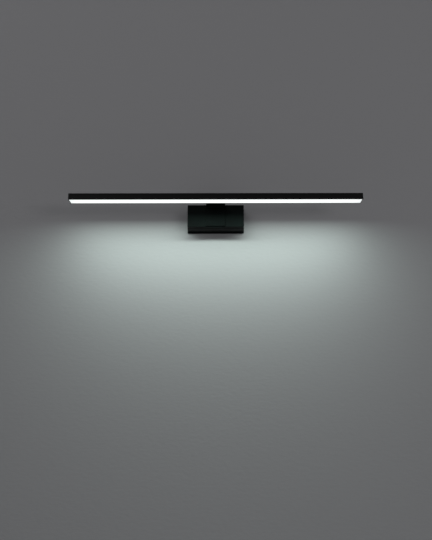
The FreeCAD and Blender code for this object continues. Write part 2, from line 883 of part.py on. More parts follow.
def saddle_block():
    """Aluminium block in the bar's upper chamber, lower where the arm lies on it."""
    inner = port_inset + port_radius + saddle_side_room
    span = (bar_back - inner, bar_front + inner)
    body = block(pair(0, saddle_half()), span, (web_top, chamber_top))
    seat = block(pair(0, arm_width / 2 + 4 * paint_fit), span, (arm_bottom, chamber_top))
    base = V(0, bar_middle, web_top)
    holes = [seat, rod(lead_hole_radius, base, V(0, bar_middle, arm_bottom))]
    flange = lead_grommet_neck + lead_grommet_flange + saddle_side_room
    holes.append(rod(flange, base, base + UP * (lead_grommet_flange_height + saddle_side_room)))
    for x in pair(0, arm_screw_spacing / 2):
        holes.append(rod(m3.radius + thread_fit, V(x, bar_middle, web_top), V(x, bar_middle, arm_bottom)))
    for x in saddle_screw_x():
        holes.append(rod(m25.radius + thread_fit, V(x, bar_middle, web_top), V(x, bar_middle, chamber_top)))
    return cut_all(body, holes)


def saddle_screw_x():
    """Places of the two screws through the bar's top into the saddle's ears."""
    return pair(0, saddle_half() - saddle_screw_inset)


def saddle_screws():
    """Two small countersunk screws that hold the bar on the saddle."""
    top = bar_top - head_sunk
    return [flat_screw(m25, saddle_screw_length, V(x, bar_middle, top), DOWN) for x in saddle_screw_x()]


# Bar -----------------------------------------------------------------------

led_board_top = web_bottom - tape_thickness
led_board_bottom = led_board_top - led_board_thickness
port_places = [bar_back - port_inset, bar_front + port_inset]


def bar_profile():
    """Extrusion: an upper chamber with two screw ports, and a lower cavity for the light."""
    span = (-profile_half, profile_half)
    outer = rounded_block(span, (bar_front, bar_back), (bar_bottom, bar_top), bar_edge_round, RIGHT)
    walls = (bar_front + bar_wall, bar_back - bar_wall)
    cavity = block(span, walls, (bar_bottom, web_bottom))
    groove_z = (bar_bottom + hook_groove_height, bar_bottom + hook_groove_height + hook_groove_width)
    grooves = block(span, (walls[0] - hook_groove_depth, walls[1] + hook_groove_depth), groove_z)
    chamber = block(span, walls, (web_top, chamber_top))
    ports = [rod(port_radius, V(-profile_half, y, port_z), V(profile_half, y, port_z)) for y in port_places]
    shell = outer.cut(Part.makeCompound([cavity.fuse(grooves), chamber]))
    rounds = outer.common(Part.makeCompound(ports))
    bore = m3.radius + thread_fit
    holes = [rod(bore, V(-profile_half, y, port_z), V(profile_half, y, port_z)) for y in port_places]
    notch_end = bar_back - arm_insert - paint_fit
    half = arm_width / 2 + paint_fit
    corner = arm_corner + paint_fit
    beyond = 2 * corner
    notch_z = (arm_bottom, bar_top + beyond)
    notch = rounded_block(pair(0, half), (notch_end, bar_back + beyond), notch_z, corner, UP)
    lead_hole = rod(lead_grommet_neck + thread_fit, V(0, bar_middle, web_bottom), V(0, bar_middle, web_top))
    holes += [notch, lead_hole]
    for x in saddle_screw_x():
        holes += flat_hole(m25, bar_wall, V(x, bar_middle, bar_top - head_sunk), DOWN, screw_fit)
    return cut_all(fused([shell, rounds]), holes)


def lead_grommet():
    """Small bush in the web where the lead goes down to the board."""
    base = V(0, bar_middle, web_bottom)
    middle = V(0, bar_middle, web_top)
    crown = middle + UP * lead_grommet_flange_height
    flange = rod(lead_grommet_neck + lead_grommet_flange, middle, crown)
    return fused([rod(lead_grommet_neck, base, middle), flange]).cut(rod(lead_grommet_bore, base, crown))


def thermal_tape():
    """Heat-conducting tape between the web and the LED board."""
    half = profile_half - led_board_end_room
    tape = block(pair(0, half), pair(bar_middle, led_board_width / 2), (led_board_top, web_bottom))
    return tape.cut(rod(lead_hole_radius, V(0, bar_middle, led_board_top), V(0, bar_middle, web_bottom)))


def led_board():
    """Aluminium-core board, as long as the bar less room for the end caps."""
    half = profile_half - led_board_end_room
    span = (led_board_bottom, led_board_top)
    board = block(pair(0, half), pair(bar_middle, led_board_width / 2), span)
    return board.cut(rod(lead_hole_radius, V(0, bar_middle, span[0]), V(0, bar_middle, span[1])))


def led_packages():
    """Row of LEDs at one pitch, with the lead's hole midway between the two in the middle."""
    half = profile_half - led_board_end_room
    count = int((half - led_length / 2) / led_pitch + 0.5)
    packages = []
    for i in range(count):
        for side in (-1, 1):
            x = side * led_pitch * (i + 0.5)
            z = (led_board_bottom - led_height, led_board_bottom)
            packages.append(block(pair(x, led_length / 2), pair(bar_middle, led_width / 2), z))
    return packages


def board_joints():
    """Two solder joints that bridge the lead's hole."""
    width, length, height = joint_size
    z = (led_board_bottom - height, led_board_bottom)
    middle = (joint_gap + width) / 2
    return [block(pair(s * middle, width / 2), pair(bar_middle, length / 2), z) for s in (-1, 1)]


def diffuser():
    """Opal cover: a flat light face with two sprung legs whose hooks sit in the bar's grooves."""
    outer = bar_depth / 2 - bar_wall - diffuser_fit
    groove_low = bar_bottom + hook_groove_height
    groove_high = groove_low + hook_groove_width
    span = pair(0, profile_half)
    face = block(span, pair(bar_middle, outer), (bar_bottom, bar_bottom + diffuser_thickness))
    legs = []
    for side in (-1, 1):
        leg = (bar_middle + side * (outer - diffuser_leg), bar_middle + side * outer)
        legs.append(block(span, leg, (bar_bottom, groove_high + diffuser_leg_above_hook)))
        hook = (bar_middle + side * outer, bar_middle + side * (outer + diffuser_hook))
        legs.append(block(span, hook, (groove_low + hook_room, groove_high - hook_room)))
    return fused([face] + legs)


def end_cap(side):
    """Cap over one end of the bar, with a plug between the screw ports."""
    inner = side * profile_half
    outer = side * (profile_half + end_cap_thickness)
    cap = rounded_block((inner, outer), (bar_front, bar_back), (bar_bottom, bar_top), bar_edge_round, RIGHT)
    room = port_inset + port_radius + saddle_side_room
    plug_y = (bar_back - room, bar_front + room)
    plug = block((inner, inner - side * plug_length), plug_y, (web_top + paint_fit, chamber_top - paint_fit))
    holes = []
    for y in port_places:
        head = V(outer - side * head_sunk, y, port_z)
        holes += flat_hole(m3, end_cap_thickness, head, RIGHT * -side, screw_fit)
    return cut_all(fused([cap, plug]), holes)


def end_cap_screws():
    """Two screws at each end of the bar."""
    screws = []
    for side in (-1, 1):
        x = side * (bar_length / 2 - head_sunk)
        screws += [flat_screw(m3, cap_screw_length, V(x, y, port_z), RIGHT * -side) for y in port_places]
    return screws


pieces = {
    "wall_gasket": wall_gasket(),
    "wall_plate": wall_plate(),
    "cable_grommet": cable_grommet(),
    "rear_shell": rear_shell(),
    "shell_seal": shell_seal(),
    "front_shell": front_shell(),
    "shell_screws": shell_screws(),
    "side_screws": side_screws(),
    "gear_tray": gear_tray(),
    "tray_screws": tray_screws(),
    "driver_case": driver_case(),
    "driver_lid": driver_lid(),
    "driver_board": driver_board(),
    "driver_transformer": driver_transformer(),
    "driver_capacitors": driver_capacitors(),
    "driver_screws": driver_screws(),
    "terminal_block": terminal_block(),
    "terminal_barrels": terminal_barrels(),
    "terminal_screws": terminal_screws(),
    "line_lead": supply_lead(pole_places[0]),
    "neutral_lead": supply_lead(pole_places[1]),
    "earth_lead": earth_lead(),
    "earth_screw": earth_screw(),
    "cable_clamp": cable_clamp(),
    "clamp_screws": clamp_screws(),
    "arm_bracket": arm_bracket(),
    "arm_backing_plate": arm_backing_plate(),
    "arm_washers": arm_washers(),
    "arm_nuts": arm_nuts(),
    "arm_lead": arm_lead(),
    "arm_lead_cover": arm_lead_cover(),
    "arm_screws": arm_screws(),
    "saddle_block": saddle_block(),
    "saddle_screws": saddle_screws(),
    "bar_profile": bar_profile(),
    "lead_grommet": lead_grommet(),
    "thermal_tape": thermal_tape(),
    "led_board": led_board(),
    "led_packages": led_packages(),
    "board_joints": board_joints(),
    "diffuser": diffuser(),
    "end_cap_left": end_cap(-1),
    "end_cap_right": end_cap(1),
    "end_cap_screws": end_cap_screws(),
}

os.makedirs("parts", exist_ok=True)
for name, piece in pieces.items():
    shape = Part.makeCompound(piece) if isinstance(piece, list) else piece
    shape.exportStep(os.path.join("parts", name + ".step"))
    state = "valid" if shape.isValid() else "INVALID"
    print(name, len(shape.Solids), "solids", round(shape.Volume, 1), "mm3", state)
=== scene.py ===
"""Looks of a vanity light bar: an LED bar on a bent arm, held by a small box on the wall."""
from math import pi, radians

import bmesh
import bpy
from mathutils import Matrix, Vector


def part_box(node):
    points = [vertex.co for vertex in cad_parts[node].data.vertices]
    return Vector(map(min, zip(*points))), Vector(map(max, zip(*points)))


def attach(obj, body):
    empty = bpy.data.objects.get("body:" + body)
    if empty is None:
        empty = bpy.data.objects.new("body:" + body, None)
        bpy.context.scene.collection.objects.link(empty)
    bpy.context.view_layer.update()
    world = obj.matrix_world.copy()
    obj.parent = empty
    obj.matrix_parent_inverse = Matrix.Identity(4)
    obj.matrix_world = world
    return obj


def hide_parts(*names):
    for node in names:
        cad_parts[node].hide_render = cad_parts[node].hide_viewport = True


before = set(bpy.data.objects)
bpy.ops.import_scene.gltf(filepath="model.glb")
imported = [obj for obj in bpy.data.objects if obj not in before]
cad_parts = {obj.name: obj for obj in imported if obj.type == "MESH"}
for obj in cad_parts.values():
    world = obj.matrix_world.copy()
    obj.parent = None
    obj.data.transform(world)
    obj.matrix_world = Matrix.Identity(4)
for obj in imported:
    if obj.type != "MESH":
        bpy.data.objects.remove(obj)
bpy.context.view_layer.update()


# Wall gasket ---------------------------------------------------------------------------------
# Sheet of closed-cell foam, die cut, that lies between the wall plate and the wall.
# Its cut edge shows as a thin dark line round the plate.

MM = 0.001


class Socket:
    """An output of a finish's nodes. Sums and products of it add Math nodes."""

    def __init__(self, finish, link):
        self.finish = finish
        self.link = link

    def maths(self, operation, *values):
        return self.finish.node("ShaderNodeMath", {"operation": operation}, dict(enumerate(values)))

    def __add__(self, other):
        return self.maths("ADD", self, other)

    def __sub__(self, other):
        return self.maths("SUBTRACT", self, other)

    def __rsub__(self, other):
        return self.maths("SUBTRACT", other, self)

    def __mul__(self, other):
        return self.maths("MULTIPLY", self, other)

    def __truediv__(self, other):
        return self.maths("DIVIDE", self, other)

    def __rtruediv__(self, other):
        return self.maths("DIVIDE", other, self)

    def __abs__(self):
        return self.maths("ABSOLUTE", self)

    def __lt__(self, other):
        return self.maths("LESS_THAN", self, other)

    def __gt__(self, other):
        return self.maths("GREATER_THAN", self, other)

    __radd__ = __add__
    __rmul__ = __mul__


class Finish:
    """One material. Constants go to its shader by name; what varies is fed from its nodes."""

    def __init__(self, name, **constants):
        self.material = bpy.data.materials.new(name)
        self.material.use_nodes = True
        self.tree = self.material.node_tree
        self.shader = self.tree.nodes["Principled BSDF"]
        for socket, value in constants.items():
            self.feed(socket.replace("_", " "), value)
        self.place = self.node("ShaderNodeTexCoord", out="Object")

    def node(self, kind, settings=None, sockets=None, out=0):
        """Any node: its settings first, then the values or links of its sockets."""
        made = self.tree.nodes.new(kind)
        for name, value in (settings or {}).items():
            setattr(made, name, value)
        for name, value in (sockets or {}).items():
            self.join(made.inputs[name], value)
        return Socket(self, made.outputs[out])

    def join(self, entry, value):
        if isinstance(value, Socket):
            self.tree.links.new(value.link, entry)
        elif entry.type == "RGBA" and len(value) == 3:
            entry.default_value = (*value, 1.0)
        else:
            entry.default_value = value

    def feed(self, name, value):
        self.join(self.shader.inputs[name], value)

    def stretched(self, x, y, z):
        """Object coordinates in units of a pattern's size along each axis, in metres."""
        per_metre = (1 / x, 1 / y, 1 / z)
        return self.node("ShaderNodeMapping", {}, {"Vector": self.place, "Scale": per_metre})

    def noise(self, size, detail=2.0, where=None):
        """Soft random pattern from 0 to 1 whose patches are about one size across."""
        where = where or self.stretched(size, size, size)
        sockets = {"Vector": where, "Scale": 1.0, "Detail": detail}
        return self.node("ShaderNodeTexNoise", {}, sockets)

    def cells(self, size, out=0):
        """Random cells: the distance from each cell's middle, or the cell's own colour."""
        sockets = {"Vector": self.stretched(size, size, size), "Scale": 1.0}
        return self.node("ShaderNodeTexVoronoi", {"feature": "F1"}, sockets, out)

    def blend(self, mask, low, high):
        """Colour between two others."""
        return self.node("ShaderNodeMix", {"data_type": "RGBA"}, {0: mask, 6: low, 7: high}, out=2)

    def relief(self, height, depth):
        """Bumps of a height pattern, so deep in metres."""
        self.feed("Normal", self.node("ShaderNodeBump", {}, {"Height": height, "Distance": depth}))


def dress(finish, *nodes):
    """Gives CAD nodes that stay as they are their finish."""
    for name in nodes:
        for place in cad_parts[name].material_slots:
            place.material = finish.material


foam = Finish("closed_cell_foam", Specular_IOR_Level=0.25)
foam_cell = foam.cells(0.45 * MM)
foam_drift = foam.noise(6 * MM)
foam.feed("Base Color", foam.blend(foam_drift, (0.022, 0.022, 0.023), (0.036, 0.036, 0.038)))
foam.feed("Roughness", foam_cell * 0.15 + 0.8)
foam.relief(foam_cell, 0.12 * MM)
dress(foam, "wall_gasket")


# Wall plate ----------------------------------------------------------------------------------
# Pressed steel plate with slots for the wall's screws and a bent tab at each end.
# Powder coated matt black: the coat rounds every edge and has a fine orange peel.

def powder_coat(name, shade, roughness):
    """Matt black powder coat on metal, with a soft sheen where it is seen at a low angle."""
    coat = Finish(name, Specular_IOR_Level=0.02, Sheen_Weight=0.03, Sheen_Roughness=0.35)
    peel = coat.noise(0.5 * MM, detail=1.0)
    drift = coat.noise(30 * MM, detail=2.0)
    darkest = (shade * 0.6, shade * 0.6, shade * 0.6)
    palest = (shade, shade * 1.7, shade * 1.6)
    coat.feed("Base Color", coat.blend(drift * 0.6 + peel * 0.4, darkest, palest))
    coat.feed("Roughness", drift * 0.1 + peel * 0.2 + (roughness - 0.15))
    coat.relief(peel, 0.03 * MM)
    return coat


weld = 0.002 * MM
flat_angle = radians(0.5)
corner_angle = radians(30)


def merged(node):
    """Copy of a CAD node whose loose triangles are joined, and its flat ones made one face."""
    copy = bmesh.new()
    copy.from_mesh(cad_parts[node].data)
    bmesh.ops.remove_doubles(copy, verts=copy.verts, dist=weld)
    bmesh.ops.dissolve_limit(copy, angle_limit=flat_angle, verts=copy.verts, edges=copy.edges)
    return copy


def softened(node, edge, sides="xXyYzZ"):
    """Merged copy of a CAD node with the sharp edges on its outer sides rounded. A side's letter
    is small for the low one on that axis and large for the high one."""
    low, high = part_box(node)
    planes = dict(zip("xyzXYZ", (*low, *high)))
    reach = 0.05 * MM
    copy = merged(node)
    rims = []
    for rim in copy.edges:
        sharp = rim.is_manifold and rim.calc_face_angle() > corner_angle
        middle = dict(zip("xyz", (rim.verts[0].co + rim.verts[1].co) / 2))
        outer = any(abs(middle[side.lower()] - planes[side]) < reach for side in sides)
        if sharp and outer:
            narrowest = min(face.calc_area() for face in rim.link_faces) / rim.calc_length()
            if narrowest > 2 * edge:
                rims.append(rim)
    bmesh.ops.bevel(copy, geom=rims, offset=edge, offset_type="OFFSET", affect="EDGES", segments=3,
                    profile=0.5, material=-1, clamp_overlap=False)
    return copy


def fit(name, shape, node, slot, *finishes):
    """Finished piece on the lamp's one body, in place of its CAD node."""
    mesh = bpy.data.meshes.new(name)
    shape.to_mesh(mesh)
    shape.free()
    for attribute in ("custom_normal", "UVMap"):
        if attribute in mesh.attributes:
            mesh.attributes.remove(mesh.attributes[attribute])
    crease = radians(50)
    mesh.shade_smooth()
    mesh.set_sharp_from_angle(angle=crease)
    for finish in finishes:
        mesh.materials.append(finish.material)
    piece = bpy.data.objects.new(name, mesh)
    bpy.context.scene.collection.objects.link(piece)
    flats = piece.modifiers.new("flat_faces", "WEIGHTED_NORMAL")
    flats.keep_sharp = True
    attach(piece, "root")
    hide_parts(node)


steel_coat = powder_coat("black_powder_coat_on_steel", shade=0.0022, roughness=0.48)
fit("back_plate", softened("wall_plate", 0.3 * MM), "wall_plate", "black_steel", steel_coat)


# Cable grommet -------------------------------------------------------------------------------
# Black rubber bush, pressed into the plate's hole, that guards the building's cable. A smaller
# one of the same rubber guards the low-voltage lead in the bar's web.

rubber = Finish("black_rubber", Specular_IOR_Level=0.3)
rubber_bloom = rubber.noise(4 * MM, detail=3.0)
rubber.feed("Base Color", rubber.blend(rubber_bloom, (0.010, 0.010, 0.010), (0.024, 0.024, 0.025)))
rubber.feed("Roughness", rubber_bloom * 0.2 + 0.6)
rubber.relief(rubber.noise(0.3 * MM), 0.02 * MM)
dress(rubber, "cable_grommet", "lead_grommet")


# Rear shell ----------------------------------------------------------------------------------
# Ring of black moulded plastic between the plate and the front of the box.
# Its mould was spark eroded, which leaves a fine even grain.

def moulded(name, low, high, roughness, grain, depth, **constants):
    """Moulded plastic with a spark-eroded grain."""
    plastic = Finish(name, **constants)
    spark = plastic.noise(grain, detail=1.0)
    flow = plastic.noise(25 * MM, detail=1.0)
    plastic.feed("Base Color", plastic.blend(flow, low, high))
    plastic.feed("Roughness", spark * 0.1 + flow * 0.06 + (roughness - 0.08))
    plastic.relief(spark, depth)
    return plastic


shell_plastic = moulded("black_moulding", (0.0040, 0.0041, 0.0043), (0.0070, 0.0080, 0.0080),
                        roughness=0.56, grain=0.5 * MM, depth=0.05 * MM,
                        Specular_IOR_Level=0.22)
rear_shape = softened("rear_shell", 0.25 * MM, "xXzZ")
fit("box_rear", rear_shape, "rear_shell", "black_moulding", shell_plastic)


# Seam seal -----------------------------------------------------------------------------------
# Square silicone cord in a groove of the seam between the two halves of the box, which the
# shell's screws press together.

silicone = Finish("silicone_cord", Specular_IOR_Level=0.4)
silicone_haze = silicone.noise(3 * MM)
silicone.feed("Base Color", silicone.blend(silicone_haze, (0.34, 0.34, 0.33), (0.48, 0.48, 0.46)))
silicone.feed("Roughness", silicone_haze * 0.15 + 0.35)
silicone.relief(silicone_haze, 0.02 * MM)
dress(silicone, "shell_seal")


# Front shell ---------------------------------------------------------------------------------
# Die-cast aluminium front of the box, powder coated, with the channel that the arm lies in.
# Long screws from the rear half hold it.

cast_coat = powder_coat("black_powder_coat_on_aluminium", shade=0.0022, roughness=0.46)
front_shape = softened("front_shell", 0.25 * MM, "xXyzZ")
fit("box_front", front_shape, "front_shell", "black_aluminium", cast_coat)


# Screws, nuts and washers --------------------------------------------------------------------
# Steel screws, most with a hexagon socket, that hold the lamp together. Those inside the box
# are zinc plated, as the nuts and washers are. Those that show are oxidised black.

def plated(name, low, high, roughness, size):
    """Bare or plated metal, a little uneven in colour and polish."""
    metal = Finish(name, Metallic=1.0)
    haze = metal.noise(size, detail=3.0)
    metal.feed("Base Color", metal.blend(haze, low, high))
    metal.feed("Roughness", haze * 0.16 + (roughness - 0.08))
    metal.relief(metal.noise(size / 8), 0.01 * MM)
    return metal


zinc = plated("zinc_plated_steel", (0.50, 0.52, 0.56), (0.68, 0.68, 0.66),
              roughness=0.34, size=2.5 * MM)
dress(zinc, "shell_screws", "tray_screws", "driver_screws", "terminal_screws", "clamp_screws",
      "arm_washers", "arm_nuts")

black_oxide = plated("black_oxide_steel", (0.018, 0.018, 0.019), (0.034, 0.034, 0.036),
                     roughness=0.38, size=2 * MM)
dress(black_oxide, "side_screws", "arm_screws", "saddle_screws", "end_cap_screws")


# Gear tray and backing plate -----------------------------------------------------------------
# Stamped from galvanised sheet, whose zinc has set in large flat crystals. The tray carries the
# driver and the terminal block; the plate spreads the pull of the arm's nuts.

spangle = Finish("galvanised_sheet", Metallic=1.0)
crystal = spangle.cells(7 * MM, out="Color")
crystal_tone = spangle.node("ShaderNodeSeparateColor", {}, {"Color": crystal})
spangle.feed("Base Color", spangle.blend(crystal_tone, (0.42, 0.44, 0.46), (0.66, 0.67, 0.68)))
spangle.feed("Roughness", crystal_tone * 0.22 + 0.32)
spangle.relief(spangle.noise(0.8 * MM), 0.01 * MM)
dress(spangle, "gear_tray", "arm_backing_plate")


# Driver --------------------------------------------------------------------------------------
# White moulded case and lid, screwed to the tray by two ears, round a green circuit board
# that carries a wound ferrite transformer and two sleeved capacitors.

white_moulding = moulded("white_moulding", (0.68, 0.68, 0.66), (0.76, 0.76, 0.74),
                         roughness=0.45, grain=0.6 * MM, depth=0.02 * MM)
dress(white_moulding, "driver_case", "driver_lid")

solder_mask = Finish("green_solder_mask", Coat_Weight=0.4, Coat_Roughness=0.2)
track = solder_mask.node(
    "ShaderNodeTexBrick", {"offset": 0.35},
    {"Vector": solder_mask.stretched(9 * MM, 9 * MM, 9 * MM), "Scale": 1.0, "Mortar Size": 0.04},
    out="Fac")
solder_mask.feed("Base Color", solder_mask.blend(track, (0.006, 0.075, 0.024), (0.012, 0.15, 0.05)))
solder_mask.feed("Roughness", solder_mask.noise(5 * MM) * 0.15 + 0.35)
solder_mask.relief(track, 0.03 * MM)
dress(solder_mask, "driver_board")

core_low, core_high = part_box("driver_transformer")
core_middle = (core_low + core_high) / 2
tape_half_width = (core_high.x - core_low.x) * 0.26
tape_half_depth = (core_high.y - core_low.y) * 0.32
core = Finish("ferrite_and_tape")
core_x, core_y = (
    core.node("ShaderNodeSeparateXYZ", {}, {"Vector": core.place}, out=axis) for axis in "XY")
taped = (abs(core_x - core_middle.x) < tape_half_width) * (
    abs(core_y - core_middle.y) < tape_half_depth)
grit = core.noise(0.4 * MM, detail=3.0)
core.feed("Base Color", core.blend(taped, (0.030, 0.029, 0.028), (0.62, 0.42, 0.06)))
core.feed("Roughness", grit * 0.2 + 0.55 - taped * 0.3)
core.relief(grit, 0.04 * MM)
dress(core, "driver_transformer")

can_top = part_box("driver_capacitors")[1].y
sleeve_lip = 0.25 * MM
sleeve = Finish("capacitor_sleeve")
sleeve_y = sleeve.node("ShaderNodeSeparateXYZ", {}, {"Vector": sleeve.place}, out="Y")
bare_top = sleeve_y > (can_top - sleeve_lip)
sleeve_shrink = sleeve.noise(1.5 * MM)
sleeve.feed("Base Color", sleeve.blend(bare_top, (0.010, 0.014, 0.032), (0.62, 0.62, 0.63)))
sleeve.feed("Metallic", bare_top)
sleeve.feed("Roughness", sleeve_shrink * 0.15 + 0.28)
sleeve.relief(sleeve_shrink, 0.02 * MM)
dress(sleeve, "driver_capacitors")


# Terminal block, its leads and the cable clamp -----------------------------------------------
# Natural nylon block with brass barrels. Line, neutral and earth are brown, blue, and green
# with a yellow stripe. A grey nylon saddle grips the building's cable.

nylon = moulded("natural_nylon", (0.66, 0.65, 0.60), (0.76, 0.75, 0.70),
                roughness=0.42, grain=0.5 * MM, depth=0.02 * MM)
dress(nylon, "terminal_block")
grey_nylon = moulded("grey_nylon", (0.24, 0.25, 0.26), (0.31, 0.32, 0.33),
                     roughness=0.48, grain=0.5 * MM, depth=0.02 * MM)
dress(grey_nylon, "cable_clamp")
brass = plated("brass", (0.66, 0.47, 0.20), (0.80, 0.62, 0.32), roughness=0.32, size=2 * MM)
dress(brass, "terminal_barrels")
yellow_zinc = plated("yellow_zinc", (0.58, 0.47, 0.24), (0.70, 0.60, 0.40),
                     roughness=0.34, size=2 * MM)
dress(yellow_zinc, "earth_screw")


def insulation(name, colour, stripe=None):
    """Extruded wire insulation, with a stripe along it where a second colour is given."""
    vinyl = Finish(name)
    drawn = vinyl.noise(1.0, where=vinyl.stretched(20 * MM, 0.6 * MM, 0.6 * MM))
    paler = tuple(min(1.0, value * 1.3) for value in colour)
    shade = vinyl.blend(drawn, colour, paler)
    if stripe:
        band = vinyl.node("ShaderNodeTexWave", {"bands_direction": "DIAGONAL"},
                          {"Vector": vinyl.stretched(3 * MM, 3 * MM, 3 * MM), "Scale": 1.0})
        shade = vinyl.blend(band > 0.5, shade, stripe)
    vinyl.feed("Base Color", shade)
    vinyl.feed("Roughness", drawn * 0.15 + 0.35)
    vinyl.relief(drawn, 0.01 * MM)
    return vinyl


dress(insulation("brown_insulation", (0.14, 0.045, 0.018)), "line_lead")
dress(insulation("blue_insulation", (0.02, 0.09, 0.42)), "neutral_lead")
dress(insulation("earth_insulation", (0.02, 0.22, 0.04), stripe=(0.75, 0.58, 0.02)), "earth_lead")


# Arm -----------------------------------------------------------------------------------------
# Steel strip bent once, powder coated. Its upright leg lies in the box's channel on four
# studs; its top leg is let into the bar. A thin strip covers the lead in its groove.

fit("arm", softened("arm_bracket", 0.3 * MM, "xXyzZ"), "arm_bracket", "black_steel", steel_coat)
strip_shape = softened("arm_lead_cover", 0.12 * MM)
fit("arm_cover_strip", strip_shape, "arm_lead_cover", "black_steel", steel_coat)
dress(insulation("black_insulation", (0.012, 0.012, 0.012)), "arm_lead")


# Saddle --------------------------------------------------------------------------------------
# Sawn and drilled aluminium block in the bar's upper chamber, held there by two screws. The
# arm is screwed to it.

sawn = Finish("sawn_aluminium", Metallic=1.0)
saw_marks = sawn.noise(1.0, where=sawn.stretched(0.35 * MM, 12 * MM, 12 * MM))
sawn.feed("Base Color", sawn.blend(saw_marks, (0.60, 0.61, 0.62), (0.78, 0.78, 0.79)))
sawn.feed("Roughness", saw_marks * 0.2 + 0.25)
sawn.relief(saw_marks, 0.02 * MM)
dress(sawn, "saddle_block")


# Bar -----------------------------------------------------------------------------------------
# Aluminium extrusion with the light's cavity below and a chamber above, powder coated.
# Faint die lines run along it under the coat.

bar_coat = Finish("black_powder_coat_on_extrusion", Specular_IOR_Level=0.06)
bar_peel = bar_coat.noise(0.5 * MM, detail=1.0)
die_lines = bar_coat.noise(1.0, detail=2.0, where=bar_coat.stretched(180 * MM, 1.2 * MM, 1.2 * MM))
bar_coat.feed("Base Color", bar_coat.blend(die_lines, (0.0012, 0.0013, 0.0013),
                                           (0.0026, 0.0030, 0.0030)))
bar_coat.feed("Roughness", die_lines * 0.15 + bar_peel * 0.15 + 0.33)
bar_coat.relief(bar_peel * 0.6 + die_lines * 0.4, 0.045 * MM)
bar_shape = softened("bar_profile", 0.2 * MM, "yYzZ")
fit("bar_extrusion", bar_shape, "bar_profile", "black_aluminium", bar_coat)


# End caps ------------------------------------------------------------------------------------
# Two cast covers with a plug that sits in the bar, powder coated like the box's front. Two
# countersunk screws hold each.

for side in ("left", "right"):
    cap = f"end_cap_{side}"
    fit(f"end_cover_{side}", softened(cap, 0.2 * MM), cap, "black_aluminium", cast_coat)


# LED board -----------------------------------------------------------------------------------
# Long aluminium-core board with white solder mask on heat-conducting tape. Its packages are
# white cups filled with yellow phosphor.

white_mask = Finish("white_solder_mask", Coat_Weight=0.3, Coat_Roughness=0.25)
mask_drift = white_mask.noise(18 * MM)
board_edge = white_mask.node("ShaderNodeTexWave", {"bands_direction": "Y", "wave_profile": "TRI"},
                             {"Vector": white_mask.stretched(6 * MM, 6 * MM, 6 * MM), "Scale": 1.0})
white_mask.feed("Base Color", white_mask.blend(mask_drift, (0.74, 0.74, 0.73), (0.82, 0.82, 0.81)))
white_mask.feed("Roughness", mask_drift * 0.1 + 0.32)
white_mask.relief(board_edge > 0.6, 0.03 * MM)
dress(white_mask, "led_board")

tape = moulded("thermal_tape", (0.50, 0.55, 0.60), (0.60, 0.64, 0.68),
               roughness=0.6, grain=0.7 * MM, depth=0.04 * MM)
dress(tape, "thermal_tape")
solder = plated("solder", (0.62, 0.62, 0.64), (0.80, 0.80, 0.82), roughness=0.22, size=1.5 * MM)
dress(solder, "board_joints")

cup = moulded("led_cup", (0.78, 0.78, 0.75), (0.84, 0.84, 0.82),
              roughness=0.4, grain=0.4 * MM, depth=0.01 * MM)
phosphor = Finish("led_phosphor", Emission_Strength=1.0)
powder = phosphor.noise(0.25 * MM, detail=3.0)
phosphor.feed("Base Color", phosphor.blend(powder, (0.80, 0.62, 0.10), (0.88, 0.74, 0.22)))
phosphor.feed("Emission Color", phosphor.blend(powder, (0.90, 0.92, 0.80), (1.0, 1.0, 0.92)))
phosphor.feed("Roughness", powder * 0.15 + 0.4)

cup_rim = 0.35 * MM
cup_slope = 0.2 * MM
cup_depth = 0.25 * MM
leds = merged("led_packages")
windows = [face for face in leds.faces if face.normal.z < -0.9]
bmesh.ops.inset_individual(leds, faces=windows, thickness=cup_rim)
bmesh.ops.inset_individual(leds, faces=windows, thickness=cup_slope, depth=-cup_depth)
for window in windows:
    window.material_index = 1
fit("led_cups", leds, "led_packages", "led_face", cup, phosphor)


# Diffuser ------------------------------------------------------------------------------------
# Extruded opal acrylic: a flat light face flush with the bar's underside, and two sprung legs
# whose hooks sit in grooves of the bar. The light is even, a little dimmer at both ends.

cover_low, cover_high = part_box("diffuser")
hook = 0.5 * MM
leg = 1.0 * MM
face_thickness = 1.5 * MM
hook_low = cover_low.z + 2.55 * MM
hook_high = cover_low.z + 3.45 * MM
cover_round = 0.12 * MM

opal_shape = bmesh.new()
bmesh.ops.create_cube(opal_shape, size=1)
face_length = cover_high.x - cover_low.x
face_width = cover_high.y - cover_low.y - 2 * hook
cover_size = Vector((face_length, face_width, face_thickness))
bmesh.ops.scale(opal_shape, vec=cover_size, verts=opal_shape.verts)
cover_middle = Vector(((cover_low.x + cover_high.x) / 2, (cover_low.y + cover_high.y) / 2,
                       cover_low.z + face_thickness / 2))
bmesh.ops.translate(opal_shape, vec=cover_middle, verts=opal_shape.verts)
for y in (cover_low.y + hook + leg, cover_high.y - hook - leg):
    everything = list(opal_shape.verts) + list(opal_shape.edges) + list(opal_shape.faces)
    bmesh.ops.bisect_plane(opal_shape, geom=everything, plane_co=(0, y, 0), plane_no=(0, 1, 0))
leg_inside = cover_high.y - cover_middle.y - hook - leg


def off_middle(face):
    """How far a face's middle is from the cover's, across the bar."""
    return abs(face.calc_center_median().y - cover_middle.y)


